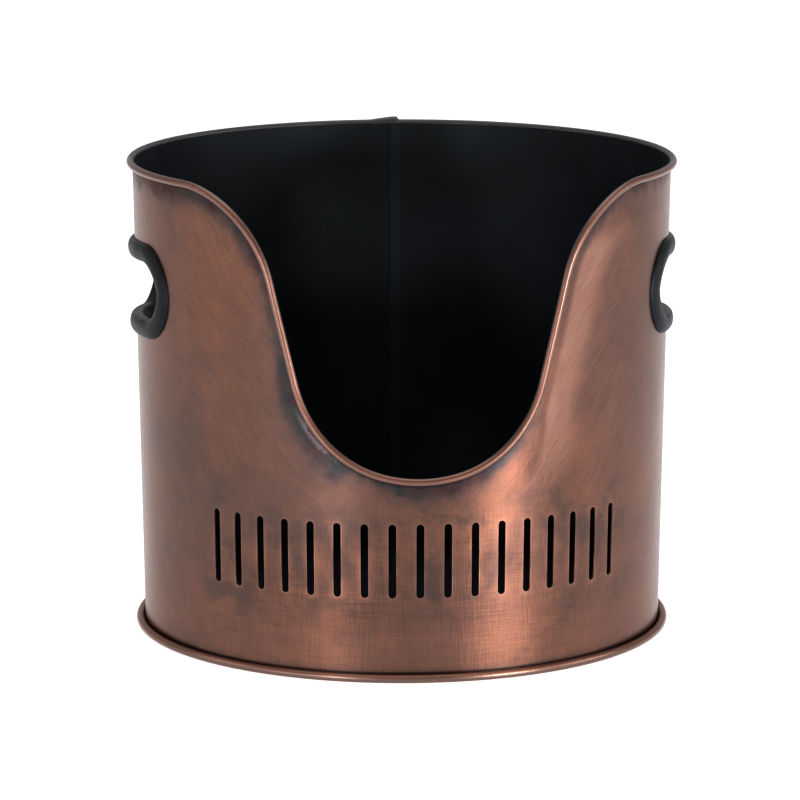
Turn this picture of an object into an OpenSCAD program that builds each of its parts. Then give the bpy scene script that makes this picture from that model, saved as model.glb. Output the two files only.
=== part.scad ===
// Kindling bucket of sheet metal: a tapered wall with a scooped front, a wired
// edge that follows the rim and the scoop, a row of upright slots cut through the
// front, a folded seam up the back and a rubber ring in the hand hole on each side.
// Millimetres, Z up, the scooped front towards -Y, the ground at Z = 0.

/* [Whole bucket] */
// Outer diameter over the rolled rim
rim_d = 300; // [280:1:330]
// Height from the ground to the top of the rolled rim
bucket_h = 258.8; // [245:0.2:275]
// How much smaller the wall's radius is at the ground than at the rim
taper = 4.5; // [0:0.1:10]
// Thickness of the steel sheet
sheet = 0.8; // [0.7:0.05:0.9]

/* [Rolled edge] */
// Outer diameter of the rolled edge round the rim and the scoop
edge_d = 4; // [3.6:0.1:4.4]
// How far round the wire the sheet is rolled, in degrees
edge_roll_angle = 299; // [270:1:305]
// Height of the lump where the seam's layers are rolled into the rim
lap_h = 1.7; // [0.4:0.1:2]

/* [Scoop] */
// Height of the rolled edge's middle at the lowest point of the scoop
scoop_z = 107.5; // [95:0.5:125]
// Radius of the flat curve at the bottom
scoop_bottom_r = 83; // [70:1:100]
// Slope at which the bottom curve tightens into the corner curve, in degrees
scoop_corner_angle = 14; // [8:1:20]
// Radius of the corner curves
scoop_corner_r = 66; // [55:1:70]
// Slope of the straight flanks, in degrees from level
scoop_flank_angle = 75.3; // [70:0.1:80]
// Length of the straight flanks
scoop_flank_l = 55; // [45:1:65]

/* [Slots] */
// Number of upright slots in the row
slot_count = 17; // [5:2:23]
// Width of a slot
slot_w = 4.2; // [3:0.1:6]
// Height of the row of slots
slot_h = 40; // [25:1:50]
// Height of the row's middle above the ground
slot_z = 65; // [50:1:75]
// Angle that the row covers round the front
slot_spread_angle = 93.6; // [60:0.2:110]

/* [Hand holes] */
// Length of the clear opening inside a rubber ring
hole_w = 116.6; // [100:0.2:125]
// Height of the clear opening inside a rubber ring
hole_h = 31.8; // [26:0.2:34]
// Height of the openings' middle above the ground
hole_z = 189.7; // [180:0.1:200]
// How far the openings tip from level, their front end higher
hole_slope_angle = 3.5; // [0:0.5:6]
// Width of a rubber ring's face from the opening to its outer edge
grip_face = 9.9; // [8:0.1:12]
// How far a rubber ring stands out from the wall above and below the opening
grip_out = 3.7; // [2.5:0.1:5]
// How far a rubber ring stands out from the wall at its two ends
grip_end_out = 2.6; // [2:0.1:4]
// How far a rubber ring stands in from the wall
grip_in = 3.6; // [2:0.1:4]
// Thickness of the rubber inside the pierced hole
grip_sleeve = 2.5; // [1.5:0.1:4]

/* [Base] */
// Height of the floor's upper face above the ground
floor_z = 5.8; // [4.6:0.1:9]
// Outer diameter of the rolled ring that the bucket stands on
ring_d = 4.5; // [4.3:0.1:5.2]
// How far round the sheet of the ring is rolled, in degrees
ring_roll_angle = 255; // [220:1:260]
// Radius to the middle of the raised ring pressed into the floor
press_r = 110; // [60:1:125]
// Height of the raised ring pressed into the floor
press_h = 1.6; // [0.6:0.1:2.4]

/* [Back seam] */
// Width of the folded band that shows inside
seam_in_w = 5.6; // [4:0.1:8]
// Width of the folded band that shows outside
seam_out_w = 9.4; // [6:0.1:12]
// Distance from the middle of the back to the seam's folded side
seam_side = 8.9; // [6:0.1:12]

/* [Part to show] */
// Sub-part to draw

/* [Hidden] */
$fn = 180;

copper = [0.49, 0.29, 0.21];
steel = [0.55, 0.55, 0.56];
rubber = [0.09, 0.09, 0.1];

// Gap left where one piece slides or lies on another
fit = 0.05;
// Gap between the base's upstand and the wall round it
pan_fit = 0.12;

edge_r = edge_d / 2;
edge_bore_r = edge_r - sheet;
wire_r = edge_bore_r - 2 * fit;
// The wall stops at the level of the rolled edge's middle.
rim_z = bucket_h - edge_r;
rim_wall_r = rim_d / 2 - edge_d + sheet;
foot_wall_r = rim_wall_r - taper;
// Radius of the rolled edge's middle at the rim, and the one that the scoop's outline is measured on
edge_path_r = rim_wall_r + edge_r - sheet;

ring_r = ring_d / 2;
ring_bore_r = ring_r - sheet;
pan_r = foot_wall_r - sheet - pan_fit;
ring_path_r = foot_wall_r + ring_r + 0.5;
flange_z = sheet + 0.07;
flange_r = ring_path_r + 0.15;
foot_wire_r = ring_bore_r - 0.5;
bend_r = 1.2;

// Outer radius of the wall at height z
function wall_r(z) = foot_wall_r + (rim_wall_r - foot_wall_r) * z / rim_z;

// Points of an arc in a plane, from angle a0 to a1 in n steps
function arc(cx, cy, r, a0, a1, n) =
    [for (i = [0 : n]) let (a = a0 + (a1 - a0) * i / n) [cx + r * cos(a), cy + r * sin(a)]];

function unit(v) = v / norm(v);

// Point at azimuth a from the front, radius r and height z
function around(a, r, z) = [r * sin(a), -r * cos(a), z];

// Right half of the scoop's outline as [distance round the wall, height], from the
// lowest point up: flat curve, corner curve, straight flank, then a shoulder curve
// that ends level with the rim.
corner_c = [
    (scoop_bottom_r - scoop_corner_r) * sin(scoop_corner_angle),
    scoop_z + scoop_bottom_r - (scoop_bottom_r - scoop_corner_r) * cos(scoop_corner_angle)
];
flank_a = corner_c + scoop_corner_r * [sin(scoop_flank_angle), -cos(scoop_flank_angle)];
flank_b = flank_a + scoop_flank_l * [cos(scoop_flank_angle), sin(scoop_flank_angle)];
shoulder_r = (rim_z - flank_b[1]) / (1 - cos(scoop_flank_angle));
shoulder_c = flank_b + shoulder_r * [sin(scoop_flank_angle), -cos(scoop_flank_angle)];
scoop_half = concat(
    arc(0, scoop_z + scoop_bottom_r, scoop_bottom_r, -90, scoop_corner_angle - 90, 3),
    [for (p = arc(corner_c[0], corner_c[1], scoop_corner_r, scoop_corner_angle - 90,
        scoop_flank_angle - 90, 14)) if (p[0] > scoop_bottom_r * sin(scoop_corner_angle) + 0.1) p],
    [(flank_a + flank_b) / 2],
    arc(shoulder_c[0], shoulder_c[1], shoulder_r, 90 + scoop_flank_angle, 90, 16)
);
scoop_n = len(scoop_half) - 1;

// Whole outline of the scoop as [azimuth, height], left shoulder to right shoulder
scoop_line = [
    for (i = [-scoop_n : scoop_n])
        let (p = scoop_half[abs(i)], a = p[0] / edge_path_r * 180 / PI)
        [i < 0 ? -a : a, p[1]]
];
scoop_end = scoop_line[2 * scoop_n][0];

// Azimuths of the seam's folded side and of the lump's two ends in the rim
seam_az = 180 - asin(seam_side / rim_wall_r);
lap_from = seam_az + 0.45;
lap_to = lap_from + 6.3;

// Line of the rolled edge's middle, once round: the scoop and then the rim
rim_step = 3;
rim_az = [
    for (a = [rim_step * ceil(scoop_end / rim_step + 0.3) : rim_step : 360 - scoop_end - 1])
        if (a < lap_from - 1 || a > lap_to + 1) a
];
lap_az = [lap_from, lap_from + 0.25, lap_from + 1.5, 180, 180 + (lap_to - 180) / 2, lap_to];
edge_line = concat(
    scoop_line,
    [for (a = rim_az) if (a < 180) [a, rim_z]],
    [for (a = lap_az) [a, rim_z]],
    [for (a = rim_az) if (a > 180) [a, rim_z]]
);
edge_n = len(edge_line);
edge_points = [for (p = edge_line) around(p[0], wall_r(p[1]) + edge_r - sheet, p[1])];

// Direction of the edge at point i, the direction straight out of the wall there,
// and the direction in the wall that leads off the edge towards the opening
function edge_dir(i) =
    unit(edge_points[(i + 1) % edge_n] - edge_points[(i + edge_n - 1) % edge_n]);
function edge_out(i) =
    let (o = around(edge_line[i][0], 1, 0), t = edge_dir(i)) unit(o - (o * t) * t);
function edge_off(i) = cross(edge_out(i), edge_dir(i));

// Height of the lump at azimuth a: it rises slowly and ends in a step at the seam
function lap(a) =
    lookup(a, [[lap_from, 0], [lap_from + 0.25, lap_h], [lap_from + 1.5, lap_h], [lap_to, 0]]);

// Section of the rolled sheet: it leaves the wall's end at the inside, passes over
// the wire and comes down outside to just short of the wall.
roll_from = 179;
roll_to = roll_from - edge_roll_angle;
roll_out_n = 15;
roll_in_n = 9;
function roll_section(lump) = concat(
    [
        for (i = [0 : roll_out_n])
            let (t = roll_from + (roll_to - roll_from) * i / roll_out_n)
            (edge_r + lump * (1 + sin(t)) / 2) * [cos(t), sin(t)]
    ],
    [
        for (i = [0 : roll_in_n])
            let (t = roll_to + (roll_from - roll_to) * i / roll_in_n)
            edge_bore_r * [cos(t), sin(t)]
    ]
);
wire_n = 7;
wire_section = [for (i = [0 : wire_n - 1]) wire_r * [cos(-360 * i / wire_n), sin(-360 * i / wire_n)]];

// Solid swept once round a closed line: rings is a list of sections of equal length
module closed_sweep(rings) {
    m = len(rings);
    k = len(rings[0]);
    polyhedron(
        points = [for (r = rings) each r],
        faces = [
            for (i = [0 : m - 1], j = [0 : k - 1])
                let (i2 = (i + 1) % m, j2 = (j + 1) % k)
                each [
                    [i * k + j, i2 * k + j, i2 * k + j2],
                    [i * k + j, i2 * k + j2, i * k + j2]
                ]
        ]
    );
}

// Section lists placed along the edge line
function along_edge(sections) = [
    for (i = [0 : edge_n - 1])
        let (c = edge_points[i], o = edge_out(i), f = edge_off(i))
        [for (p = sections[i]) c + p[0] * o + p[1] * f]
];

// Tapered band that follows the wall: from in_d inside to out_d outside the wall's
// outer face, between heights z0 and z1, over an angle that starts from the +X side
module wall_band(in_d, out_d, z0, z1, from, angle) {
    rotate_extrude(angle = angle, start = from)
        polygon([
            [wall_r(z0) - in_d, z0],
            [wall_r(z0) + out_d, z0],
            [wall_r(z1) + out_d, z1],
            [wall_r(z1) - in_d, z1]
        ]);
}

// The rolled-up sheet before it is cut, with its foot turned out over the base
module wall_sheet() {
    bend_cx = wall_r(flange_z + bend_r) - sheet + bend_r;
    bend_cz = flange_z + bend_r;
    rotate_extrude()
        polygon(concat(
            [[rim_wall_r - sheet, rim_z]],
            arc(bend_cx, bend_cz, bend_r, 180, 270, 4),
            [[flange_r, flange_z], [flange_r, flange_z + sheet]],
            arc(bend_cx, bend_cz, bend_r - sheet, 270, 180, 4),
            [[rim_wall_r, rim_z]]
        ));
}

// Everything above the scoop's outline, bounded by lines that point at the axis
module scoop_cut() {
    n = 2 * scoop_n;
    line = concat(
        [2 * scoop_line[0] - scoop_line[1]],
        scoop_line,
        [2 * scoop_line[n] - scoop_line[n - 1]]
    );
    m = len(line);
    r_in = foot_wall_r - 10;
    r_out = rim_wall_r + 10;
    top = rim_z + 10;
    points = [
        for (p = line)
            each [
                around(p[0], r_in, p[1]),
                around(p[0], r_out, p[1]),
                around(p[0], r_out, top),
                around(p[0], r_in, top)
            ]
    ];
    polyhedron(
        points = points,
        faces = concat(
            [[0, 2, 1], [0, 3, 2]],
            [[4 * m - 4, 4 * m - 3, 4 * m - 2], [4 * m - 4, 4 * m - 2, 4 * m - 1]],
            [
                for (i = [0 : m - 2], j = [0 : 3])
                    let (a = 4 * i + j, b = 4 * i + (j + 1) % 4)
                    each [[a, b + 4, a + 4], [a, b, b + 4]]
            ]
        )
    );
}

// Flat shape with straight sides and round ends: l is its length, w its width
module stadium(l, w) {
    square([l - w, w], center = true);
    for (s = [-1, 1])
        translate([s * (l - w) / 2, 0])
            circle(d = w);
}

// Half the length of the straight sides that every outline of a hand hole shares
hole_straight = (hole_w - hole_h) / 2;
// Distance from a hand hole's middle line to the clear opening, the bottom of the
// rubber's groove and the outer edge of its face
grip_mouth = hole_h / 2;
grip_groove = grip_mouth + grip_sleeve;
grip_edge = grip_mouth + grip_face;
hole_cut = grip_groove + 3 * fit;

module hand_hole_cut() {
    translate([0, 0, hole_z])
        rotate([-hole_slope_angle, 0, 0])
            rotate([90, 0, 90])
                translate([0, 0, foot_wall_r - 40])
                    linear_extrude(height = 60)
                        stadium(2 * (hole_straight + hole_cut), 2 * hole_cut);
}

module slot_cut() {
    translate([0, -foot_wall_r + 10, slot_z])
        rotate([90, 0, 0])
            linear_extrude(height = 20)
                rotate(90)
                    stadium(slot_h, slot_w);
}

// The bucket's wall, one sheet: the folded seam joins its ends at the back
module body_shell() {
    seam_from = seam_az - 90;
    color(copper)
        difference() {
            union() {
                wall_sheet();
                wall_band(2 * sheet, -sheet / 2, floor_z + 0.6, rim_z - 0.6,
                    seam_from, seam_in_w / rim_wall_r * 180 / PI);
                wall_band(sheet / 2, 2 * sheet, ring_d + 1.2, rim_z - edge_r - 0.8,
                    seam_from, seam_out_w / rim_wall_r * 180 / PI);
            }
            scoop_cut();
            hand_hole_cut();
            mirror([1, 0, 0])
                hand_hole_cut();
            for (i = [0 : slot_count - 1])
                rotate([0, 0, slot_spread_angle * (i / (slot_count - 1) - 0.5)])
                    slot_cut();
        }
}

// The sheet rolled over the wire, all the way round the rim and the scoop
module rim_bead() {
    color(copper)
        closed_sweep(along_edge([for (p = edge_line) roll_section(lap(p[0]))]));
}

// The wire inside the rolled edge
module rim_wire() {
    color(steel)
        closed_sweep(along_edge([for (p = edge_line) wire_section]));
}

// The base: a raised floor with an upstand inside the wall, turned out under the
// wall's foot and rolled up round it into the ring that the bucket stands on
module base_pan() {
    w = 12;
    ring_to = ring_roll_angle - 90;
    bend_in = bend_r - sheet;
    color(copper)
        rotate_extrude()
            polygon(concat(
                [
                    [0, floor_z - sheet],
                    [press_r - w / 2, floor_z - sheet],
                    [press_r - w / 4, floor_z - sheet + press_h],
                    [press_r + w / 4, floor_z - sheet + press_h],
                    [press_r + w / 2, floor_z - sheet]
                ],
                arc(pan_r - bend_r, floor_z - bend_r, bend_in, 90, 0, 3),
                arc(pan_r - sheet + bend_r, bend_r, bend_r, 180, 270, 4),
                arc(ring_path_r, ring_r, ring_r, -90, ring_to, 24),
                arc(ring_path_r, ring_r, ring_bore_r, ring_to, -90, 18),
                arc(pan_r - sheet + bend_r, bend_r, bend_in, 270, 180, 3),
                arc(pan_r - bend_r, floor_z - bend_r, bend_r, 0, 90, 4),
                [
                    [press_r + w / 2, floor_z],
                    [press_r + w / 4, floor_z + press_h],
                    [press_r - w / 4, floor_z + press_h],
                    [press_r - w / 2, floor_z],
                    [0, floor_z]
                ]
            ));
}

// The wire inside the foot ring, lying on the wall's turned-out foot
module foot_wire() {
    color(steel)
        translate([0, 0, flange_z + sheet + fit + foot_wire_r])
            rotate_extrude()
                translate([ring_path_r + 0.05, 0])
                    circle(r = foot_wire_r, $fn = 48);
}

// Section of a rubber ring as [distance from the hole's middle line, distance out
// from the wall's outer face], where it leads away from that line at angle a: a domed
// face outside that thins towards its edges and is lower at the ring's two ends, a
// sleeve through the wall and a lower face inside, with the wall's edge held in the
// groove between them
grip_back = -sheet - fit;
grip_crown = (grip_mouth + grip_edge) / 2;
function grip_section(a) =
    let (
        side = abs(sin(a)),
        out = grip_end_out + (grip_out - grip_end_out) * side,
        rim_out = 0.08 * out,
        lip_out = (0.1 + 0.15 * side) * out,
        fullness = 1.15 - 0.4 * side
    )
    concat(
        [[grip_groove, fit], [grip_edge, fit]],
        [
            for (t = [0 : 18 : 90])
                [grip_crown + (grip_edge - grip_crown) * cos(t), rim_out + (out - rim_out) * sin(t)]
        ],
        [
            for (t = [108 : 18 : 180])
                [
                    grip_crown + (grip_crown - grip_mouth) * cos(t),
                    lip_out + (out - lip_out) * pow(sin(t), fullness)
                ]
        ],
        [
            [grip_mouth, grip_back - 0.5 * grip_in],
            [grip_mouth + 0.2 * grip_face, grip_back - grip_in],
            [grip_edge - 0.25 * grip_face, grip_back - 0.9 * grip_in],
            [grip_edge - 0.08 * grip_face, grip_back - 0.3 * grip_in],
            [grip_edge - 0.08 * grip_face, grip_back],
            [grip_groove, grip_back]
        ]
    );

// Places round a hand hole as [middle line point, direction away from it]
grip_straight_n = 14;
grip_tip_n = 11;
grip_places = [
    for (s = [-1, 1])
        each concat(
            [
                for (i = [0 : grip_straight_n - 1])
                    [s * hole_straight * (2 * i / grip_straight_n - 1), s * -90]
            ],
            [
                for (i = [0 : grip_tip_n - 1])
                    [s * hole_straight, (s > 0 ? -90 : 90) + 180 * i / grip_tip_n]
            ]
        )
];

// Point of the rubber on the curved wall: p is the section point, c the middle line
// point and a the direction away from it
function on_side(c, a, p) =
    let (
        u = c + p[0] * cos(a),
        v = p[0] * sin(a),
        y = u * cos(hole_slope_angle) + v * sin(hole_slope_angle),
        z = hole_z + v * cos(hole_slope_angle) - u * sin(hole_slope_angle)
    )
    [sqrt(pow(wall_r(z) + p[1], 2) - y * y), y, z];

module grip() {
    color(rubber)
        closed_sweep([
            for (g = grip_places)
                [for (p = grip_section(g[1])) on_side(g[0], g[1], p)]
        ]);
}

module grip_right() {
    grip();
}

module grip_left() {
    mirror([1, 0, 0])
        grip();
}

body_shell();
rim_bead();
rim_wire();
base_pan();
foot_wire();
grip_left();
grip_right();
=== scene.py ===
import math

import bpy
import numpy as np
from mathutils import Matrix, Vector
from mathutils.kdtree import KDTree


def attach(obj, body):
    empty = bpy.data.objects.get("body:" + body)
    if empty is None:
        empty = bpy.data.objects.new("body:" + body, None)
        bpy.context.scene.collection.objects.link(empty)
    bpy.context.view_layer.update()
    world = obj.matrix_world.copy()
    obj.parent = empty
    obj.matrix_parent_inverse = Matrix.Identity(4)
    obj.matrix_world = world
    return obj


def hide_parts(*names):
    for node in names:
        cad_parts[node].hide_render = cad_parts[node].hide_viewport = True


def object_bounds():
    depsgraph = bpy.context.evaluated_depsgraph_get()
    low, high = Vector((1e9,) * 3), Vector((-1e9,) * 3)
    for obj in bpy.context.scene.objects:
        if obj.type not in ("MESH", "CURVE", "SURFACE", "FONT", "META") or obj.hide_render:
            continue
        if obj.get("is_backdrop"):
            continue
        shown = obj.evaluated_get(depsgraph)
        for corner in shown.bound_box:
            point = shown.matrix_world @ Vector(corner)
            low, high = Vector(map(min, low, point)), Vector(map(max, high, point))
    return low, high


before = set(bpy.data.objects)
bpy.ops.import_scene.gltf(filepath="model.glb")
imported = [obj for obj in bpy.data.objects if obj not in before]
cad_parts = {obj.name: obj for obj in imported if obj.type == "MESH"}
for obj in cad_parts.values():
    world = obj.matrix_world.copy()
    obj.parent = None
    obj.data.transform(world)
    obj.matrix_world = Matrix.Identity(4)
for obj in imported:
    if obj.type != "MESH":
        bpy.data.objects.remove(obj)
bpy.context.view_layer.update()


# The camera: a long lens a little left of the bucket's middle, looking down at it
# from about 2.3 m away.
CAMERA_PLACE = (-0.16006, -2.34785, 0.5922)
CAMERA_TILT = math.radians(78.713)
CAMERA_TURN = math.radians(-3.877)
LENS = 195.72
SENSOR = 36
FARTHEST = 50
camera = bpy.data.objects.new("camera", bpy.data.cameras.new("camera"))
bpy.context.scene.collection.objects.link(camera)
bpy.context.scene.camera = camera
camera.data.sensor_width = SENSOR
camera.data.lens = LENS
camera.data.clip_end = FARTHEST
camera.location = CAMERA_PLACE
camera.rotation_euler = (CAMERA_TILT, 0, CAMERA_TURN)
bpy.context.scene.view_settings.view_transform = "Standard"


# The floor: a wide white table top. It stays white behind the bucket for the camera
# and in reflections, and still takes the bucket's shadow.
FLOOR_WIDTH = 14
FLOOR_BACK = 3
GLOW = 0.46
GLOW_TO_CAMERA = 0.2
FLOOR_COLOUR = (0.82, 0.82, 0.82, 1.0)


class Output:
    """One output of a finish's nodes. A sum written on it adds its own Math nodes."""

    def __init__(self, finish, socket):
        self.finish = finish
        self.socket = socket

    def math(self, operation, *others):
        values = dict(enumerate((self, *others)))
        return self.finish.node("ShaderNodeMath", {"operation": operation}, values)

    def __add__(self, other):
        return self.math("ADD", other)

    def __sub__(self, other):
        return self.math("SUBTRACT", other)

    def __rsub__(self, other):
        values = {0: other, 1: self}
        return self.finish.node("ShaderNodeMath", {"operation": "SUBTRACT"}, values)

    def __mul__(self, other):
        return self.math("MULTIPLY", other)

    def __truediv__(self, other):
        return self.math("DIVIDE", other)

    __radd__ = __add__
    __rmul__ = __mul__

    def ramp(self, low, high):
        """0 where the value is low, 1 where it is high, smooth between. Low may be the larger."""
        return self.finish.node(
            "ShaderNodeMapRange",
            {"interpolation_type": "SMOOTHSTEP"},
            {"Value": self, "From Min": low, "From Max": high},
        )


class Finish:
    """One material, and the kinds of node that its finish is made with."""

    def __init__(self, name):
        self.material = bpy.data.materials.new(name)
        self.material.use_nodes = True
        self.tree = self.material.node_tree
        self.shader = self.tree.nodes["Principled BSDF"]

    def node(self, kind, settings, values, out=0):
        """Adds a node, with its settings first, then the value or link of each socket."""
        node = self.tree.nodes.new(kind)
        for setting, value in settings.items():
            setattr(node, setting, value)
        for key, value in values.items():
            self.plug(node.inputs[key], value)
        return Output(self, node.outputs[out])

    def plug(self, socket, value):
        if isinstance(value, Output):
            self.tree.links.new(value.socket, socket)
        else:
            socket.default_value = value

    def set(self, **values):
        for name, value in values.items():
            self.plug(self.shader.inputs[name.replace("_", " ")], value)

    def place(self):
        """Position on the piece, and its x, y and z."""
        point = self.node("ShaderNodeTexCoord", {}, {}, "Object")
        parts = [self.node("ShaderNodeSeparateXYZ", {}, {0: point}, axis) for axis in "XYZ"]
        return point, *parts

    def stored(self, name):
        """A number kept on each point of the mesh."""
        return self.node("ShaderNodeAttribute", {"attribute_name": name}, {}, "Fac")

    def vector(self, x, y, z):
        return self.node("ShaderNodeCombineXYZ", {}, {0: x, 1: y, 2: z})

    def stretched(self, where, scales):
        settings = {"operation": "MULTIPLY"}
        return self.node("ShaderNodeVectorMath", settings, {0: where, 1: scales})

    def noise(self, where, scale, detail=2.0, roughness=0.5, warp=0.0):
        values = {"Vector": where, "Scale": scale, "Detail": detail}
        values.update({"Roughness": roughness, "Distortion": warp})
        return self.node("ShaderNodeTexNoise", {}, values)

    def mix(self, mask, without, full):
        """Colour without where the mask is 0 and full where it is 1."""
        values = {0: mask, 6: without, 7: full}
        return self.node("ShaderNodeMix", {"data_type": "RGBA"}, values, 2)

    def bump(self, height, distance, strength=1.0, under=None):
        values = {"Height": height, "Distance": distance, "Strength": strength}
        if under is not None:
            values["Normal"] = under
        return self.node("ShaderNodeBump", {}, values)


def rgb(red, green, blue):
    return (red, green, blue, 1.0)


bpy.ops.mesh.primitive_plane_add(size=FLOOR_WIDTH, location=(0, FLOOR_BACK, 0))
floor = bpy.context.object
floor.name = "floor"
bpy.ops.object.transform_apply(location=True, rotation=True, scale=True)
white = Finish("floor_white")
seen = white.node("ShaderNodeLightPath", {}, {}, "Is Camera Ray")
mirrored = white.node("ShaderNodeLightPath", {}, {}, "Is Glossy Ray")
through = white.node("ShaderNodeLightPath", {}, {}, "Is Transmission Ray")
shown = seen.math("MAXIMUM", mirrored).math("MAXIMUM", through)
strength = shown * GLOW + seen * GLOW_TO_CAMERA
glow = white.node("ShaderNodeEmission", {}, {"Color": rgb(1, 1, 1), "Strength": strength})
white.set(Base_Color=FLOOR_COLOUR, Roughness=0.9, Specular_IOR_Level=0.0)
top = Output(white, white.shader.outputs[0])
glowing = white.node("ShaderNodeAddShader", {}, {0: top, 1: glow})
white.plug(white.tree.nodes["Material Output"].inputs["Surface"], glowing)
floor.data.materials.append(white.material)
floor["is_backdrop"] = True


# The light: a white room, low soft lamps in front on both sides that draw the two
# upright highlights, a wide one at each side and a large one above.
ROOM_STRENGTH = 0.45
LOW_AIM = (0, 0, 0.1)
LOW_HEIGHT = 0.36
world = bpy.data.worlds.new("room")
bpy.context.scene.world = world
world.use_nodes = True
world.node_tree.nodes["Background"].inputs["Color"].default_value = rgb(1, 1, 1)
world.node_tree.nodes["Background"].inputs["Strength"].default_value = ROOM_STRENGTH


def soft_lamp(name, place, aim, width, height, power):
    """A rectangular lamp, in metres and watts, turned towards its aim."""
    lamp = bpy.data.objects.new(name, bpy.data.lights.new(name, "AREA"))
    bpy.context.scene.collection.objects.link(lamp)
    lamp.data.shape = "RECTANGLE"
    lamp.data.size = width
    lamp.data.size_y = height
    lamp.data.energy = power
    lamp.visible_camera = False
    lamp.location = place
    lamp.rotation_euler = (Vector(aim) - Vector(place)).to_track_quat("-Z", "Y").to_euler()


soft_lamp("lamp_left", (-1.2, -1.16, 0.2), LOW_AIM, width=1.0, height=LOW_HEIGHT, power=4.6)
soft_lamp("lamp_left_narrow", (-0.82, -1.45, 0.2), LOW_AIM, width=0.28, height=LOW_HEIGHT, power=8.5)
soft_lamp("lamp_right", (1.03, -1.26, 0.2), LOW_AIM, width=0.48, height=LOW_HEIGHT, power=25)
soft_lamp("lamp_left_wide", (-1.6, -0.15, 0.6), (0, 0, 0.2), width=0.9, height=0.8, power=3.4)
soft_lamp("lamp_right_wide", (1.6, -0.28, 0.6), (0, 0, 0.15), width=0.9, height=0.8, power=7)
soft_lamp("lamp_above", (0, 0.3, 2.6), (0, 0, 0), width=2.2, height=2.2, power=30)


# The wall: one sheet of 0.8 mm steel rolled into a tapered tube and joined by a folded
# seam up the back, with a scooped front, a row of 17 slots and two hand holes. Plated
# antique copper and brushed outside, painted satin black inside.
MM = 0.001
SHEET = 0.8
RIM_Z = 256.8
RIM_R = 146.8
FOOT_R = 142.3
COLUMNS = 480
ROWS = 60
WALL_LOW = 2.07
FOOT_BEND_Z = 2.0
FOOT_BEND_R = 0.4
FOOT_BEND_TURNS = (0.5, 1.05, 1.57)
FLANGE_END = (145.2, 1.67)

# The scoop, along the wall: a flat arc at the bottom, a tighter one up to each
# straight flank, and a shoulder that brings the flank back level with the rim.
EDGE_PATH_R = 148.0
SCOOP_Z = 107.5
SCOOP_R = 83.0
SCOOP_TURN = 14.0
CORNER_R = 66.0
FLANK_SLOPE = 75.3
FLANK = 55.0
FLANK_STEPS = 12
LUMP_SPAN = 5

SLOTS = 17
SLOT_W = 4.2
SLOT_H = 40.0
SLOT_Z = 65.0
SLOT_SPREAD = math.radians(93.6)

SEAM_ASIDE = 8.9
SEAM_INSIDE_W = 5.6
SEAM_OUTSIDE_W = 9.4
SEAM_AZ = 180 - math.degrees(math.asin(SEAM_ASIDE / RIM_R))
SEAM_INSIDE = (SEAM_AZ, SEAM_AZ + math.degrees(SEAM_INSIDE_W / RIM_R))
SEAM_OUTSIDE = (SEAM_AZ, SEAM_AZ + math.degrees(SEAM_OUTSIDE_W / RIM_R))
SEAM_LOW = 8
SEAM_INSIDE_TOP = 255.5
SEAM_OUTSIDE_TOP = 251

PLATE_METALLIC = 0.96
LACQUER = 0.5
PLATE_DARK = rgb(0.052, 0.018, 0.011)
PLATE_LIGHT = rgb(0.2, 0.068, 0.034)
PLATE_COOL = rgb(0.068, 0.033, 0.03)
PLATE_WIPED = rgb(0.175, 0.065, 0.037)
PLATE_CLOUD = rgb(0.042, 0.019, 0.015)
STROKE_DARK = rgb(0.02, 0.0085, 0.006)
STROKE_LIGHT = rgb(0.275, 0.106, 0.062)
SLOT_SMUDGE = rgb(0.036, 0.02, 0.018)
SLOT_HALO = rgb(0.26, 0.105, 0.067)
# Rubbed copper, also laid on as a painted highlight beside the scoop.
RUBBED_AND_HIGHLIGHT = rgb(0.42, 0.2, 0.145)
WARM = rgb(0.24, 0.076, 0.026)
SHADED = rgb(0.052, 0.03, 0.026)
# Painted shade on the left flank and lower down on the left.
LEFT_SHADE = rgb(0.046, 0.03, 0.028)
PATINA = rgb(0.046, 0.024, 0.024)
PATINA_RED = rgb(0.028, 0.014, 0.017)
PATINA_TEAL = rgb(0.018, 0.024, 0.026)
# A painted lilac sheen on the patina in the left corner.
LILAC_SHEEN = rgb(0.15, 0.11, 0.12)
# Painted shade over patina in the crevice against the rolled edge.
CREVICE_SHADE = rgb(0.011, 0.008, 0.013)
# A painted highlight low on the wall.
LOW_WALL_HIGHLIGHT = rgb(0.22, 0.09, 0.058)
SOOT = rgb(0.042, 0.024, 0.022)
# Painted shade in the crevice above the foot ring.
FOOT_CREVICE_SHADE = rgb(0.008, 0.006, 0.006)
PAINT_DEEP = rgb(0.0016, 0.002, 0.0028)
PAINT_THIN = rgb(0.0036, 0.0044, 0.006)
# A painted sheen over the seam's band inside.
PAINT_SEAM_SHEEN = rgb(0.0075, 0.0095, 0.012)


def wall_r(z):
    """Outer radius of the wall at height z."""
    return FOOT_R + (RIM_R - FOOT_R) * z / RIM_Z


def around(azimuth, radius, z):
    """Place at an azimuth in degrees from the front, to the right."""
    turn = math.radians(azimuth)
    return np.array([radius * math.sin(turn), -radius * math.cos(turn), z])


def azimuth_of(place):
    return math.degrees(math.atan2(place.x, -place.y))


def arc(centre, radius, start, end, steps):
    turns = np.radians(np.linspace(start, end, steps + 1))
    return [(centre[0] + radius * math.cos(a), centre[1] + radius * math.sin(a)) for a in turns]


def between(start, end, share):
    return (start[0] + (end[0] - start[0]) * share, start[1] + (end[1] - start[1]) * share)


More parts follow.
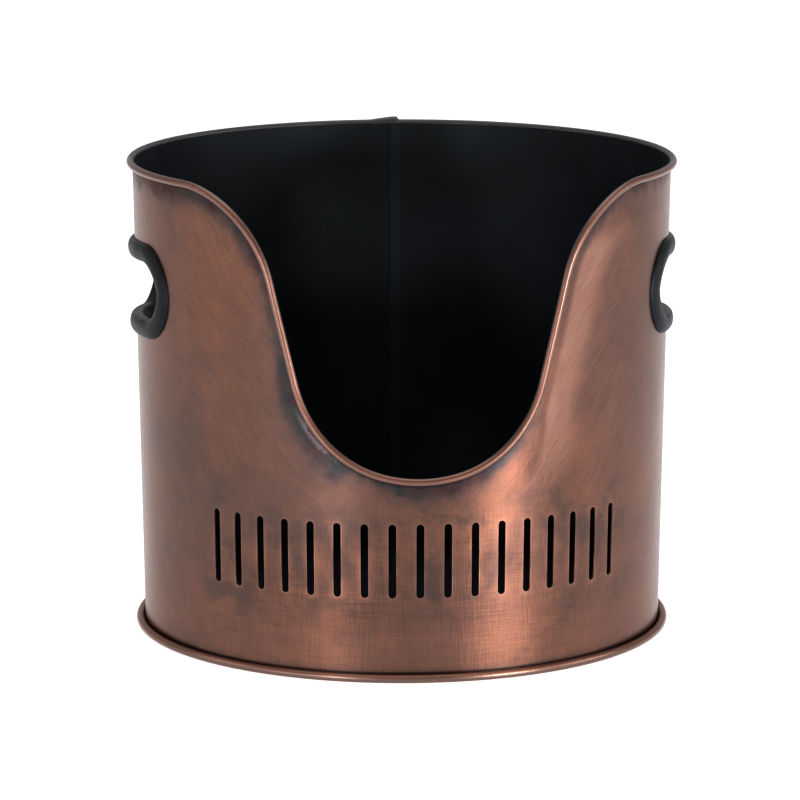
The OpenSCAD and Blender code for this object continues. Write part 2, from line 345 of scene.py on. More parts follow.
def edge_line():
    """Line of the rolled edge's middle as (azimuth, height), scoop first, then rim."""
    lean, rise = math.radians(SCOOP_TURN), math.radians(FLANK_SLOPE)
    centre = (0, SCOOP_Z + SCOOP_R)
    inset = SCOOP_R - CORNER_R
    corner = (inset * math.sin(lean), centre[1] - inset * math.cos(lean))
    low = (corner[0] + CORNER_R * math.sin(rise), corner[1] - CORNER_R * math.cos(rise))
    high = (low[0] + FLANK * math.cos(rise), low[1] + FLANK * math.sin(rise))
    shoulder_r = (RIM_Z - high[1]) / (1 - math.cos(rise))
    shoulder = (high[0] + shoulder_r * math.sin(rise), high[1] - shoulder_r * math.cos(rise))
    half = arc(centre, SCOOP_R, -90, SCOOP_TURN - 90, steps=10)
    half += arc(corner, CORNER_R, SCOOP_TURN - 90, FLANK_SLOPE - 90, steps=36)[1:]
    half += [between(low, high, k / FLANK_STEPS) for k in range(1, FLANK_STEPS)]
    half += arc(shoulder, shoulder_r, 90 + FLANK_SLOPE, 90, steps=36)
    right = [(math.degrees(s / EDGE_PATH_R), z) for s, z in half]
    end = right[-1][0]
    rim = np.arange(math.ceil(end + 0.5), 360 - end, 1.0)
    rim = [(a, RIM_Z) for a in rim if abs(a - 180) > LUMP_SPAN]
    lump = [(a, RIM_Z) for a in np.arange(180 - LUMP_SPAN, 180 + LUMP_SPAN + 0.01, 0.25)]
    return [(-a, z) for a, z in right[:0:-1]] + right + sorted(rim + lump)


def places_of(piece):
    """The piece's points in mm, one row each."""
    places = np.zeros(len(piece.data.vertices) * 3)
    piece.data.vertices.foreach_get("co", places)
    return places.reshape(-1, 3) / MM


def put(piece, places):
    """Moves the piece's points to these places in mm."""
    piece.data.vertices.foreach_set("co", (np.asarray(places) * MM).ravel())
    piece.data.update()


def take(piece):
    """Makes this piece the only one selected, and the active one."""
    bpy.ops.object.select_all(action="DESELECT")
    bpy.context.view_layer.objects.active = piece
    piece.select_set(True)


def settle(piece, name):
    """Names the piece and puts its place in its mesh."""
    take(piece)
    bpy.ops.object.transform_apply(location=True, rotation=True, scale=True)
    piece.name = name
    piece.data.name = name


def pick(piece, test, kind="FACE"):
    """Opens the piece in edit mode with only some of it selected: the faces whose middle
    and normal pass the test, or the edges whose two ends pass it."""
    take(piece)
    bpy.ops.object.mode_set(mode="EDIT")
    bpy.ops.mesh.select_mode(type=kind)
    bpy.ops.mesh.select_all(action="DESELECT")
    bpy.ops.object.mode_set(mode="OBJECT")
    mesh = piece.data
    if kind == "FACE":
        chosen = [bool(test(face.center, face.normal)) for face in mesh.polygons]
        mesh.polygons.foreach_set("select", chosen)
    else:
        points = [vertex.co.copy() for vertex in mesh.vertices]
        chosen = [bool(test(*(points[v] for v in edge.vertices))) for edge in mesh.edges]
        mesh.edges.foreach_set("select", chosen)
    bpy.ops.object.mode_set(mode="EDIT")


def on_loop(place, radius, height, slack=2e-5):
    """Whether a place in metres is on the level circle of that radius and height in mm."""
    aside = abs(math.hypot(place.x, place.y) - radius * MM)
    return aside < slack and abs(place.z - height * MM) < slack


def draw_out(piece, profile, radius, height):
    """Draws the open loop there out through the profile's (radius, height) pairs."""
    start_r, start_z = radius, height
    pick(piece, lambda a, b: all(on_loop(end, start_r, start_z) for end in (a, b)), "EDGE")
    for next_radius, next_height in profile:
        rise = (0, 0, (next_height - height) * MM)
        bpy.ops.mesh.extrude_edges_move(TRANSFORM_OT_translate={"value": rise})
        grow = next_radius / radius
        middle = (0, 0, next_height * MM)
        bpy.ops.transform.resize(value=(grow, grow, 1), center_override=middle)
        radius, height = next_radius, next_height
    bpy.ops.object.mode_set(mode="OBJECT")


def use(piece, kind, **settings):
    """Adds a modifier with its settings and applies it."""
    modifier = piece.modifiers.new(kind.lower(), kind)
    for setting, value in settings.items():
        setattr(modifier, setting, value)
    bpy.context.view_layer.objects.active = piece
    bpy.ops.object.modifier_apply(modifier=modifier.name)


def give_sheet(piece):
    """Gives the skin the sheet's thickness inwards, with the second finish inside."""
    thickness = SHEET * MM
    use(piece, "SOLIDIFY", thickness=thickness, offset=-1, use_even_offset=True, material_offset=1)


def smooth(piece, angle):
    take(piece)
    bpy.ops.object.shade_smooth_by_angle(angle=math.radians(angle))


def tree_of(points):
    tree = KDTree(len(points))
    for k, point in enumerate(points):
        tree.insert(point, k)
    tree.balance()
    return tree


def store(piece, name, values):
    """Keeps one number on each point of the mesh, for the piece's finish."""
    layer = piece.data.attributes.new(name, "FLOAT", "POINT")
    layer.data.foreach_set("value", values)


def slot_distance(finish):
    """Distance in mm from the outline of the nearest slot."""
    pitch = SLOT_SPREAD / (SLOTS - 1)
    last = (SLOTS - 1) / 2
    nearest = (finish.turn / pitch).math("ROUND").math("MAXIMUM", -last).math("MINIMUM", last)
    across = (finish.turn - nearest * pitch) * (FOOT_R + 1)
    up = ((finish.z - SLOT_Z).math("ABSOLUTE") - (SLOT_H - SLOT_W) / 2).math("MAXIMUM", 0)
    return (across * across + up * up).math("SQRT") - SLOT_W / 2


def copper(name):
    """Antique copper plating: a dark brown plate brushed back to orange copper, level and
    upright low down and slanted along the scoop higher up. It keeps the height z in mm
    and the turn from the front in radians for the finishes made from it."""
    finish = Finish(name)
    point, x, y, z = finish.place()
    finish.point, finish.x, finish.y = point, x, y
    finish.z = z / MM
    finish.turn = x.math("ARCTAN2", y * -1)
    height = finish.z * MM
    aside = finish.turn.math("ABSOLUTE") * 0.145
    sway = finish.noise(point, 9, 2, 0.5) * 0.05
    across, along = height - aside + sway, height + aside

    level = finish.noise(finish.stretched(point, (45, 45, 1400)), 1, 2, 0.6)
    upright = finish.noise(finish.stretched(point, (1400, 1400, 60)), 1, 2, 0.6)
    crossed = level.ramp(0.32, 0.68) * 0.45 + upright.ramp(0.32, 0.68) * 0.45
    slanted = finish.noise(finish.vector(across * 1000, along * 38, x * 25), 1, 3, 0.65)
    patchy = 0.65 + 0.35 * finish.noise(point, 22, 2, 0.5).ramp(0.4, 0.6)
    high = finish.z.ramp(70, 110) * patchy
    grain = finish.noise(point, 900, 2, 0.6).ramp(0.3, 0.7)
    brushed = crossed * (1 - high * 0.88) + slanted.ramp(0.34, 0.66) * high * 0.72 + grain * 0.1

    patches = finish.noise(point, 15, 5, 0.6, 0.5).ramp(0.36, 0.64)
    cool = finish.noise(finish.stretched(point, (1.3, 1.3, 1)), 11, 2, 0.5, 0.3)
    clouds = finish.noise(finish.stretched(point, (1, 1, 1.6)), 36, 6, 0.66, 0.4)
    wipes = finish.noise(finish.vector(across * 60, along * 11, x * 8), 1, 3, 0.55, 0.3)
    colour = finish.mix(patches, PLATE_DARK, PLATE_LIGHT)
    colour = finish.mix(cool.ramp(0.42, 0.62) * 0.55, colour, PLATE_COOL)
    colour = finish.mix(wipes.ramp(0.4, 0.62) * 0.35, colour, PLATE_WIPED)
    colour = finish.mix(clouds.ramp(0.38, 0.66) * 0.45, colour, PLATE_CLOUD)
    colour = finish.mix(0.34, colour, STROKE_DARK)
    finish.colour = finish.mix(brushed * 0.34, colour, STROKE_LIGHT)
    finish.brushed = brushed
    finish.rough = 0.37 + brushed * 0.08 - patches * 0.05
    scratches = finish.bump(brushed, distance=0.0001, strength=0.5)
    waves = finish.noise(point, 24, 2)
    finish.set(
        Base_Color=finish.colour,
        Roughness=finish.rough,
        Metallic=PLATE_METALLIC,
        Anisotropic=0.75,
        Anisotropic_Rotation=0.25,
        Specular_Tint=rgb(0.72, 0.54, 0.5),
        Coat_Weight=LACQUER,
        Coat_Roughness=0.22,
        Normal=finish.bump(waves, distance=0.0012, strength=0.4, under=scratches),
    )
    return finish


def wall_copper():
    """The copper of the wall: rubbed brighter round the slots, rubbed and with a painted
    highlight beside the right of the scoop, painted shade on the left, and a dark patina
    along the rolled edge, between the slots and above the foot."""
    finish = copper("copper_sheet_plated")
    point, turn, z, colour = finish.point, finish.turn, finish.z, finish.colour
    uneven = finish.noise(point, 70, 2, 0.5)
    from_slot = slot_distance(finish)
    from_edge = finish.stored("edge_mm")
    right, left = turn.ramp(0.12, 0.5), turn.ramp(-0.1, -0.4)
    not_back = turn.ramp(-2.9, -2.2)

    # Round the slots: dark smudges between them, a bright halo and a thin bare line.
    smudge = from_slot.ramp(20, 5) * finish.noise(point, 34, 5, 0.62, 0.4).ramp(0.48, 0.62)
    halo = (from_slot + uneven * 7).ramp(7, 2.5)
    wear_and_sheen = (from_slot + uneven * 1.2).ramp(1.1, 0.6)
    colour = finish.mix(smudge * 0.6, colour, SLOT_SMUDGE)
    colour = finish.mix(halo * 0.24, colour, SLOT_HALO)
    colour = finish.mix(wear_and_sheen * 0.35, colour, RUBBED_AND_HIGHLIGHT)

    # Beside the scoop: a painted highlight over rubbed copper on the right, warmer plating
    # and then painted shade on the left, and painted shade down the left flank and lower
    # down on the left.
    beside = from_edge - z.ramp(150, 100) * 16
    # A painted highlight beside the right of the scoop, over copper rubbed there.
    rubbed_highlight = beside.ramp(6, 10) * beside.ramp(31, 15)
    rubbed_highlight = rubbed_highlight * right * z.ramp(238, 222) * (0.12 + z.ramp(95, 140) * 0.88)
    rubbed_highlight = rubbed_highlight * (0.35 + finish.noise(point, 45, 5, 0.65) * 0.6 + finish.brushed * 0.45)
    warm = left * not_back * z.ramp(110, 170) * finish.noise(point, 26, 4, 0.6).ramp(0.3, 0.62)
    shaded = turn.ramp(-0.02, -0.3) * (from_edge + uneven * 20).ramp(62, 18)
    shaded = shaded * (1 - z.ramp(165, 215) * 0.8)
    # Painted shade down the left flank and lower down on the left.
    band = z.ramp(118, 100) * z.ramp(62, 82) * turn.ramp(-0.32, -0.48)
    flank = turn.ramp(-0.74, -1.0) * z.ramp(184, 166) * z.ramp(20, 90)
    left_shade = band.math("MAXIMUM", flank) * turn.ramp(-2.4, -1.7) * (0.75 + uneven * 0.5)
    colour = finish.mix(rubbed_highlight * 0.44, colour, RUBBED_AND_HIGHLIGHT)
    colour = finish.mix(warm * (0.1 + finish.brushed * 0.4), colour, WARM)
    colour = finish.mix(shaded * 0.52, colour, SHADED)
    colour = finish.mix(left_shade * 0.34, colour, LEFT_SHADE)

    # Along the rolled edge: a ragged dark patina, wide in the left corner and at the bottom,
    # narrow on the right flank, with painted shade over patina in a black line against the
    # edge itself, and a painted lilac sheen in the left corner.
    straight = right * z.ramp(120, 150) * z.ramp(232, 215)
    corner = turn.ramp(-0.6, -0.5) * turn.ramp(-0.22, -0.34) * z.ramp(185, 160)
    shoulder = left * not_back * z.ramp(195, 225)
    bottom = turn.ramp(-0.2, -0.06) * turn.ramp(0.32, 0.2)
    ragged = finish.noise(point, 60, 8, 0.75)
    wander = ragged * 20 - 6.5 + straight * 6 - corner * 6 - bottom * 4 - shoulder * 4
    fringe = (from_edge + wander).ramp(18, 7)
    near = (from_edge + wander).ramp(13, 4)
    blot = finish.noise(point, 85, 5, 0.65).ramp(0.36, 0.62)
    teal = finish.noise(point, 48, 4, 0.6).ramp(0.42, 0.56)
    tint = finish.mix(teal, PATINA_RED, PATINA_TEAL)
    # Painted shade over patina right against the rolled edge.
    crevice_shade = (from_edge + ragged * 3).ramp(5.6, 4.2)
    # A painted lilac sheen beside the edge in the left corner.
    lilac_sheen = from_edge.ramp(2.6, 3.6) * from_edge.ramp(6.5, 4.5)
    lilac_sheen = lilac_sheen * finish.noise(point, 70, 3, 0.6).ramp(0.48, 0.56)
    lilac_sheen = lilac_sheen * z.ramp(146, 134) * turn.ramp(-0.2, -0.28)
    colour = finish.mix(fringe * (0.5 + corner * 0.2), colour, PATINA)
    colour = finish.mix(near * (0.6 + blot * 0.4) * (1 - straight * 0.4), colour, tint)
    colour = finish.mix(crevice_shade * (0.75 - straight * 0.25), colour, CREVICE_SHADE)
    colour = finish.mix(lilac_sheen * corner * 0.55, colour, LILAC_SHEEN)

    # Above the foot: a lighter band painted as a highlight, a ragged dark line and painted
    # shade in the crevice of the ring.
    soot = (z + finish.noise(point, 30, 4, 0.6) * 15).ramp(17, 11)
    colour = finish.mix(z.ramp(34, 16) * 0.18, colour, LOW_WALL_HIGHLIGHT)
    colour = finish.mix(soot * 0.4, colour, SOOT)
    colour = finish.mix(z.ramp(5.8, 4.6) * 0.9, colour, FOOT_CREVICE_SHADE)
    finish.set(
        Base_Color=colour,
        Roughness=finish.rough + near * 0.05 - rubbed_highlight * 0.06,
        Coat_Weight=LACQUER - near * 0.36,
    )
    return finish


def black_paint(name):
    """Satin black paint with a faint orange peel and a bluish sheen, and a painted sheen
    over the seam's band."""
    finish = Finish(name)
    point, x, y, z = finish.place()
    azimuth = x.math("ARCTAN2", y * -1) * (180 / math.pi)
    # A painted sheen over the raised band of the seam.
    band = azimuth.ramp(SEAM_AZ - 0.4, SEAM_AZ) * azimuth.ramp(SEAM_AZ + 2.6, SEAM_AZ + 2.2)
    thin = finish.noise(point, 22, 3, 0.6).ramp(0.35, 0.7)
    colour = finish.mix(thin, PAINT_DEEP, PAINT_THIN)
    peel = finish.noise(point, 900, 2, 0.5)
    finish.set(
        Base_Color=finish.mix(band * 0.8, colour, PAINT_SEAM_SHEEN),
        Roughness=0.4 + finish.noise(point, 60, 3, 0.6) * 0.12,
        Specular_IOR_Level=0.13,
        Specular_Tint=rgb(0.8, 0.92, 1.0),
        Normal=finish.bump(peel, distance=0.00004, strength=0.4),
    )
    return finish


# The tube, with an upright edge wherever a band of the folded seam starts or ends. Each
# upright column of the sheet then ends at the height of the rolled edge.
bpy.ops.object.select_all(action="DESELECT")
bpy.ops.mesh.primitive_cone_add(
    vertices=COLUMNS,
    radius1=wall_r(WALL_LOW) * MM,
    radius2=RIM_R * MM,
    depth=(RIM_Z - WALL_LOW) * MM,
    end_fill_type="NOTHING",
    location=(0, 0, (RIM_Z + WALL_LOW) / 2 * MM),
)
wall = bpy.context.object
settle(wall, "wall")
wall.data.materials.append(wall_copper().material)
wall.data.materials.append(black_paint("black_paint_inside").material)
pick(wall, lambda a, b: abs(a.z - b.z) > 0.1, "EDGE")
bpy.ops.mesh.subdivide(number_cuts=ROWS - 1)
bpy.ops.object.mode_set(mode="OBJECT")
for azimuth in (SEAM_AZ, SEAM_INSIDE[1], SEAM_OUTSIDE[1]):
    pick(wall, lambda centre, normal: centre.y > 0)
    turn = math.radians(azimuth)
    bpy.ops.mesh.bisect(plane_co=(0, 0, 0), plane_no=(math.cos(turn), math.sin(turn), 0))
    bpy.ops.object.mode_set(mode="OBJECT")

LINE = edge_line()
heights = np.array(sorted((a if a <= 180 else a - 360, z) for a, z in LINE))
places = places_of(wall)
turns = np.arctan2(places[:, 0], -places[:, 1])
tops = np.interp(np.degrees(turns), heights[:, 0], heights[:, 1])
levels = WALL_LOW + (places[:, 2] - WALL_LOW) * (tops - WALL_LOW) / (RIM_Z - WALL_LOW)
radii = wall_r(levels)
put(wall, np.stack([radii * np.sin(turns), -radii * np.cos(turns), levels], 1))

# The foot is turned out over the base's flange, and the skin gets its thickness.
bend_r = wall_r(FOOT_BEND_Z) + FOOT_BEND_R
bend = [
    (bend_r - FOOT_BEND_R * math.cos(a), WALL_LOW - FOOT_BEND_R * math.sin(a)) for a in FOOT_BEND_TURNS
]
draw_out(wall, bend + [FLANGE_END], wall_r(WALL_LOW), WALL_LOW)
give_sheet(wall)


def in_seam(centre, normal, span, top, side):
    """Whether a face is in the seam's band, on the outside for side 1, inside for -1."""
    facing = side * (normal.x * centre.x + normal.y * centre.y)
    within = span[0] < azimuth_of(centre) % 360 < span[1] and SEAM_LOW * MM < centre.z < top * MM
    return within and facing > 0.5 * math.hypot(centre.x, centre.y)


for span, top, side in ((SEAM_INSIDE, SEAM_INSIDE_TOP, -1), (SEAM_OUTSIDE, SEAM_OUTSIDE_TOP, 1)):
    pick(wall, lambda centre, normal: in_seam(centre, normal, span, top, side))
    bpy.ops.mesh.extrude_region_shrink_fatten(TRANSFORM_OT_shrink_fatten={"value": SHEET * MM})
    bpy.ops.object.mode_set(mode="OBJECT")


def round_cutter(width, depth, height, through):
    """A block in mm whose edges along the axis that it cuts through are rounded over."""
    bpy.ops.object.select_all(action="DESELECT")
    bpy.ops.mesh.primitive_cube_add(size=1)
    cutter = bpy.context.object
    cutter.scale = (width * MM, depth * MM, height * MM)
    bpy.ops.object.transform_apply(location=True, rotation=True, scale=True)
    axis = "xyz".index(through)
    pick(cutter, lambda a, b: abs(a[axis] - b[axis]) > 1e-5, "EDGE")
    rounding = min(width, depth, height) / 2 * 0.999
    bpy.ops.mesh.bevel(offset=rounding * MM, segments=10, affect="EDGES")
    bpy.ops.object.mode_set(mode="OBJECT")
    return cutter


def cut(piece, cutters):
    """Cuts all the cutters out of the piece at once."""
    bpy.ops.object.select_all(action="DESELECT")
    for cutter in cutters:
        cutter.select_set(True)
    bpy.context.view_layer.objects.active = cutters[0]
    bpy.ops.object.join()
    settle(cutters[0], "cutter")
    use(piece, "BOOLEAN", operation="DIFFERENCE", solver="MANIFOLD", object=cutters[0])
    bpy.data.objects.remove(cutters[0])


SLOT_DEPTH = 20
slot_cutters = []
for k in range(SLOTS):
    cutter = round_cutter(SLOT_W, SLOT_DEPTH, SLOT_H, "y")
    turn = SLOT_SPREAD * (k / (SLOTS - 1) - 0.5)
    cutter.location = around(math.degrees(turn), FOOT_R * MM, SLOT_Z * MM)
    cutter.rotation_euler = (0, 0, turn)
    slot_cutters.append(cutter)
cut(wall, slot_cutters)

HOLE_Z = 189.7
HOLE_H = 31.8
HOLE_STRAIGHT = 42.4
HOLE_SLOPE = math.radians(3.5)
HOLE_DEPTH = 60
HOLE_X = 130
GRIP_SLEEVE = 2.5
SLEEVE_GAP = 0.15
hole_cutters = []
for side in (-1, 1):
    high = HOLE_H + 2 * (GRIP_SLEEVE + SLEEVE_GAP)
    cutter = round_cutter(HOLE_DEPTH, 2 * HOLE_STRAIGHT + high, high, "x")
    cutter.location = (side * HOLE_X * MM, 0, HOLE_Z * MM)
    cutter.rotation_euler = (-HOLE_SLOPE, 0, 0)
    hole_cutters.append(cutter)
cut(wall, hole_cutters)
smooth(wall, angle=30)

# How far each point of the sheet is from the rolled edge, for the patina along it.
edge_tree = tree_of([around(azimuth, wall_r(z), z) for azimuth, z in LINE])
store(wall, "edge_mm", [edge_tree.find(place)[2] for place in places_of(wall)])
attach(wall, "root")
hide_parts("body_shell")


# The rolled edge: the sheet's edge rolled over a wire, once round the scoop and the
# rim, with a lump at the back where the seam's layers are rolled in. Copper outside,
# black paint on the half that faces in.
EDGE_R = 2.0
EDGE_SIDES = 28
LUMP_TURNS = [SEAM_AZ + past for past in (0.3, 0.7, 1.95, 6.75)]
LUMP_HEIGHTS = [0, 1.64, 1.64, 0]
EDGE_STREAK_DARK = rgb(0.12, 0.046, 0.028)
EDGE_STREAK_LIGHT = rgb(0.19, 0.075, 0.046)
# A pale band painted as the floor's reflection low on the edge's outer side.
EDGE_FLOOR_REFLECTION = rgb(0.26, 0.19, 0.18)
# A dark line painted as a dark reflection high on the edge's outer side.
EDGE_DARK_REFLECTION = rgb(0.05, 0.022, 0.017)
# Painted shade in the groove between the edge and the wall.
EDGE_GROOVE_SHADE = rgb(0.03, 0.014, 0.012)
# A grey line painted as the black paint's sheen where it ends on the edge.
EDGE_PAINT_SHEEN = rgb(0.11, 0.11, 0.125)
EDGE_PAINT = rgb(0.012, 0.0135, 0.016)


def ring_piece(name, rings):
    """A closed ring: a grid laid section by section along its line, then closed up."""
    along, across = len(rings) + 1, len(rings[0]) + 1
    bpy.ops.object.select_all(action="DESELECT")
    bpy.ops.mesh.primitive_grid_add(x_subdivisions=across - 1, y_subdivisions=along - 1, size=0.1)
    piece = bpy.context.object
    closed = [list(ring) + [ring[0]] for ring in list(rings) + [rings[0]]]
    put(piece, np.array(closed).reshape(-1, 3))
    pick(piece, lambda centre, normal: True)
    bpy.ops.mesh.remove_doubles(threshold=1e-7)
    bpy.ops.mesh.normals_make_consistent(inside=False)
    bpy.ops.object.mode_set(mode="OBJECT")
    settle(piece, name)
    return piece


def unit(vector):
    return vector / np.linalg.norm(vector)


centres = [around(azimuth, wall_r(z) + EDGE_R - SHEET, z) for azimuth, z in LINE]
edge_rings, free_ways = [], []
for k, (azimuth, z) in enumerate(LINE):
    forward = unit(centres[(k + 1) % len(LINE)] - centres[k - 1])
    outward = around(azimuth, 1, 0)
    outward = unit(outward - outward.dot(forward) * forward)
    free_way = np.cross(outward, forward)
    lump = np.interp(azimuth, LUMP_TURNS, LUMP_HEIGHTS)
    ring = []
    for t in np.linspace(0, 2 * math.pi, EDGE_SIDES, endpoint=False):
        size = EDGE_R + lump * (1 + math.sin(t)) / 2
        ring.append(centres[k] + size * (math.cos(t) * outward + math.sin(t) * free_way))
    edge_rings.append(ring)
    free_ways.append(free_way)
rolled_edge = ring_piece("rolled_edge", edge_rings)
smooth(rolled_edge, angle=40)

# How far each point of the edge is turned towards its free side: 1 at the top of the
# rim, -1 in the groove against the wall.
middle_tree = tree_of(centres)
lip = []
for place in places_of(rolled_edge):
    k = middle_tree.find(place)[1]
    lip.append((place - centres[k]).dot(free_ways[k]) / EDGE_R)
store(rolled_edge, "lip", lip)

edge_copper = copper("copper_edge_plated")
x, y, z = edge_copper.x, edge_copper.y, edge_copper.z
off_wall = (x * x + y * y).math("SQRT") / MM - (FOOT_R + (RIM_R - FOOT_R) / RIM_Z * z)
turned = edge_copper.stored("lip")
wobble = edge_copper.noise(edge_copper.point, 130, 3, 0.6) - 0.5
lengthwise = edge_copper.vector(turned * 6, z * MM * 16, edge_copper.turn * 2.4)
streak = edge_copper.noise(lengthwise, 1, 3, 0.6).ramp(0.35, 0.65)
# A pale band low on the outer side, painted as a reflection of the floor.
ridge_reflection = (turned + wobble * 0.5 + 0.3).math("ABSOLUTE").ramp(0.26, 0.1)
# A dark line high on the outer side, painted as a dark reflection.
dark_reflection = (turned + wobble * 0.3 - 0.42).math("ABSOLUTE").ramp(0.14, 0.04)
# Painted shade on the underside of the edge, in the groove against the wall.
groove_shade = turned.ramp(-0.6, -0.85)
# A grey line painted as the sheen of the black paint where it ends.
wear_and_sheen = (off_wall + wobble * 0.5).ramp(1.75, 1.45)
painted = (off_wall + wobble * 0.5).ramp(1.45, 1.15)
streaks = edge_copper.mix(streak, EDGE_STREAK_DARK, EDGE_STREAK_LIGHT)
colour = edge_copper.mix(0.7, edge_copper.colour, streaks)
colour = edge_copper.mix(ridge_reflection * 0.25, colour, EDGE_FLOOR_REFLECTION)
colour = edge_copper.mix(dark_reflection * 0.35, colour, EDGE_DARK_REFLECTION)
colour = edge_copper.mix(groove_shade * 0.85, colour, EDGE_GROOVE_SHADE)
colour = edge_copper.mix(wear_and_sheen * 0.8, colour, EDGE_PAINT_SHEEN)
colour = edge_copper.mix(painted, colour, EDGE_PAINT)
dents = edge_copper.noise(edge_copper.point, 60, 2)
dents = edge_copper.bump(dents, distance=0.0006, strength=0.4)
edge_copper.set(
    Base_Color=colour,
    Roughness=0.4 + streak * 0.08,
    Metallic=PLATE_METALLIC - painted * PLATE_METALLIC,
    Anisotropic=0.0,
    Anisotropic_Rotation=0.0,
    Specular_Tint=rgb(0.85, 0.75, 0.72),
    Coat_Weight=0.6 - painted * 0.5,
    Coat_Roughness=0.18,
    Normal=edge_copper.bump(streak, distance=0.00005, strength=0.5, under=dents),
)
rolled_edge.data.materials.append(edge_copper.material)
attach(rolled_edge, "root")
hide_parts("rim_bead")


# The wires inside the rolled edge and the foot ring: plain drawn steel, closed rings
# laid in before the sheet is rolled over them.
WIRE_DARK = rgb(0.42, 0.42, 0.43)
WIRE_LIGHT = rgb(0.6, 0.6, 0.61)
steel = Finish("drawn_steel")
point = steel.place()[0]
drawn = steel.noise(point, 400, 3, 0.6)
steel.set(
    Base_Color=steel.mix(drawn, WIRE_DARK, WIRE_LIGHT),
    Roughness=0.3 + drawn * 0.2,
    Metallic=1.0,
    Normal=steel.bump(drawn, distance=0.00003, strength=0.5),
)
for node_name in ("rim_wire", "foot_wire"):
    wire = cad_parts[node_name]
    wire.data.materials.clear()
    wire.data.materials.append(steel.material)


# The base: a pressed floor with an upstand inside the wall, turned out under the
# wall's foot and rolled up round it into the ring that the bucket stands on. Copper
# outside, black paint over the floor.
FLOOR_Z = 5.8
UNDERSIDE = FLOOR_Z - SHEET
PAN_R = FOOT_R - SHEET - 0.12
BEND_R = 1.2
PRESS_R = 110
PRESS_H = 1.6
PRESS_W = 12
RING_R = 2.25
RING_PATH_R = FOOT_R + RING_R + 0.5
RING_ROLLED = 255
BASE_COLUMNS = 240
# A lighter copper painted as the ring's highlight.
FOOT_RING_HIGHLIGHT = rgb(0.33, 0.145, 0.095)
# A grey band painted as a reflection of the floor on the ring.
FOOT_FLOOR_REFLECTION = rgb(0.085, 0.078, 0.076)
foot_copper = copper("copper_base_plated")
# The whole ring is lighter as a painted highlight, with a grey band round it painted as a reflection
# of the floor.
height = foot_copper.z + (foot_copper.noise(foot_copper.point, 40, 4, 0.6) - 0.5) * 1.6
foot_reflection = height.ramp(0.7, 1.3) * height.ramp(3.0, 2.3)
colour = foot_copper.mix(0.45, foot_copper.colour, FOOT_RING_HIGHLIGHT)
colour = foot_copper.mix(foot_reflection * 0.6, colour, FOOT_FLOOR_REFLECTION)
foot_copper.set(Base_Color=colour, Roughness=foot_copper.rough - 0.08)

press_low = PRESS_R - PRESS_W / 2
bpy.ops.object.select_all(action="DESELECT")
bpy.ops.mesh.primitive_circle_add(
    vertices=BASE_COLUMNS, radius=press_low * MM, fill_type="NGON", location=(0, 0, UNDERSIDE * MM)
)
base = bpy.context.object
settle(base, "base")
base.data.materials.append(foot_copper.material)
base.data.materials.append(black_paint("black_paint_floor").material)
profile = [
    (PRESS_R - PRESS_W / 4, UNDERSIDE + PRESS_H),
    (PRESS_R + PRESS_W / 4, UNDERSIDE + PRESS_H),
    (PRESS_R + PRESS_W / 2, UNDERSIDE),
]
profile += arc((PAN_R - BEND_R, FLOOR_Z - BEND_R), BEND_R - SHEET, 90, 0, steps=3)
profile += arc((PAN_R - SHEET + BEND_R, BEND_R), BEND_R, 180, 270, steps=5)
profile += arc((RING_PATH_R, RING_R), RING_R, -90, RING_ROLLED - 90, steps=26)
draw_out(base, profile, press_low, UNDERSIDE)
pick(base, lambda centre, normal: True)
bpy.ops.mesh.normals_make_consistent(inside=False)
bpy.ops.object.mode_set(mode="OBJECT")
outermost = max(base.data.polygons, key=lambda face: math.hypot(face.center.x, face.center.y))
if outermost.normal.x * outermost.center.x + outermost.normal.y * outermost.center.y < 0:
    pick(base, lambda centre, normal: True)
    bpy.ops.mesh.flip_normals()
    bpy.ops.object.mode_set(mode="OBJECT")
give_sheet(base)
smooth(base, angle=35)
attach(base, "root")
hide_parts("base_pan")


# The two hand-hole rings: moulded matt black rubber with a domed face outside, a
# sleeve through the wall and a lower face inside, pressed into the pierced holes.
GRIP_FACE = 9.9
GRIP_OUT = 3.7
GRIP_END_OUT = 2.6
GRIP_IN = 3.6
GRIP_SEAT = 0.05
MOUTH = HOLE_H / 2
BRIM = MOUTH + GRIP_FACE
CROWN = (MOUTH + BRIM) / 2
SLEEVE_R = MOUTH + GRIP_SLEEVE
BACK = -SHEET - GRIP_SEAT
# The inner lip from the mouth outwards, as shares of the face's width and the lip's height.
INNER_LIP = (
    (0.0, 0.3),
    (0.02, 0.6),
    (0.08, 0.84),
    (0.2, 1.0),
    (0.45, 1.0),
    (0.75, 0.85),
    (0.88, 0.5),
    (0.92, 0.1),
    (0.91, 0.0),
)
STRAIGHT_STEPS = 40
END_STEPS = 36
RUBBER = rgb(0.0016, 0.0019, 0.0028)
RUBBER_DUSTY = rgb(0.0075, 0.0085, 0.0102)


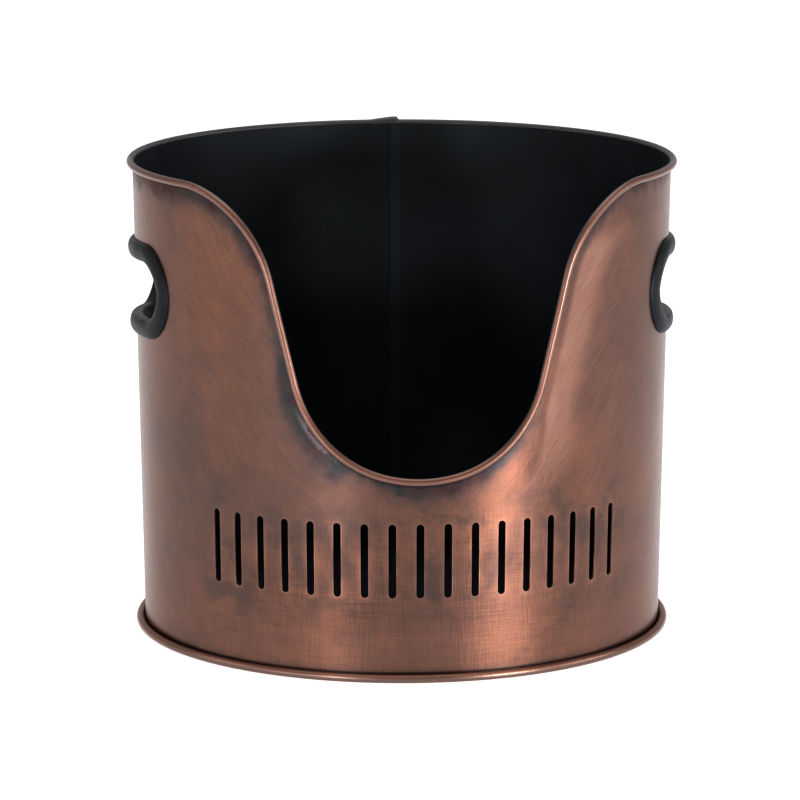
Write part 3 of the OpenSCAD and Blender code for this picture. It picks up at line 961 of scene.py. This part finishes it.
def grip_section(away):
    """Section of the rubber, lower and rounder at the ring's two ends."""
    side = abs(math.sin(away))
    out = GRIP_END_OUT + (GRIP_OUT - GRIP_END_OUT) * side
    brim_out = 0.08 * out
    lip_out = (0.1 + 0.15 * side) * out
    seat = (SLEEVE_R, (SLEEVE_R + BRIM) / 2, BRIM - 0.15)
    section = [(radius, GRIP_SEAT) for radius in seat]
    for a in np.radians(np.linspace(0, 90, 10)):
        radius = CROWN + (BRIM - CROWN) * math.cos(a)
        section.append((radius, brim_out + (out - brim_out) * math.sin(a)))
    for a in np.radians(np.linspace(99, 180, 10)):
        radius = CROWN + (CROWN - MOUTH) * math.cos(a)
        full = abs(math.sin(a)) ** (1.15 - 0.4 * side)
        section.append((radius, lip_out + (out - lip_out) * full))
    section.append((MOUTH, -SHEET / 2))
    section += [(MOUTH + face * GRIP_FACE, BACK - deep * GRIP_IN) for face, deep in INNER_LIP]
    return section + [(SLEEVE_R, BACK)]


def on_side(middle, away, section, side):
    """Place of a section point on the curved wall, round a hand hole."""
    along = middle + section[0] * math.cos(away)
    up = section[0] * math.sin(away)
    y = along * math.cos(HOLE_SLOPE) + up * math.sin(HOLE_SLOPE)
    z = HOLE_Z + up * math.cos(HOLE_SLOPE) - along * math.sin(HOLE_SLOPE)
    return (side * math.sqrt((wall_r(z) + section[1]) ** 2 - y * y), y, z)


rubber = Finish("grip_rubber_matt")
point = rubber.place()[0]
dust = rubber.noise(point, 70, 4, 0.65).ramp(0.4, 0.75)
grain = rubber.noise(point, 1400, 3, 0.6)
rubber.set(
    Base_Color=rubber.mix(dust, RUBBER, RUBBER_DUSTY),
    Roughness=0.46 + dust * 0.15,
    Specular_IOR_Level=0.13,
    Specular_Tint=rgb(0.8, 0.88, 1.0),
    Sheen_Weight=0.1,
    Sheen_Roughness=0.25,
    Sheen_Tint=rgb(0.9, 0.95, 1.0),
    Normal=rubber.bump(grain, distance=0.00006, strength=0.5),
)
stops = []
for end in (-1, 1):
    start = -end * math.pi / 2
    straight = [end * HOLE_STRAIGHT * (2 * k / STRAIGHT_STEPS - 1) for k in range(STRAIGHT_STEPS)]
    stops += [(middle, start) for middle in straight]
    stops += [(end * HOLE_STRAIGHT, start + math.pi * k / END_STEPS) for k in range(END_STEPS)]
for side, name in ((-1, "grip_left"), (1, "grip_right")):
    rings = [[on_side(middle, away, s, side) for s in grip_section(away)] for middle, away in stops]
    grip = ring_piece(name + "_ring", rings)
    smooth(grip, angle=50)
    grip.data.materials.append(rubber.material)
    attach(grip, "root")
    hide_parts(name)


low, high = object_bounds()
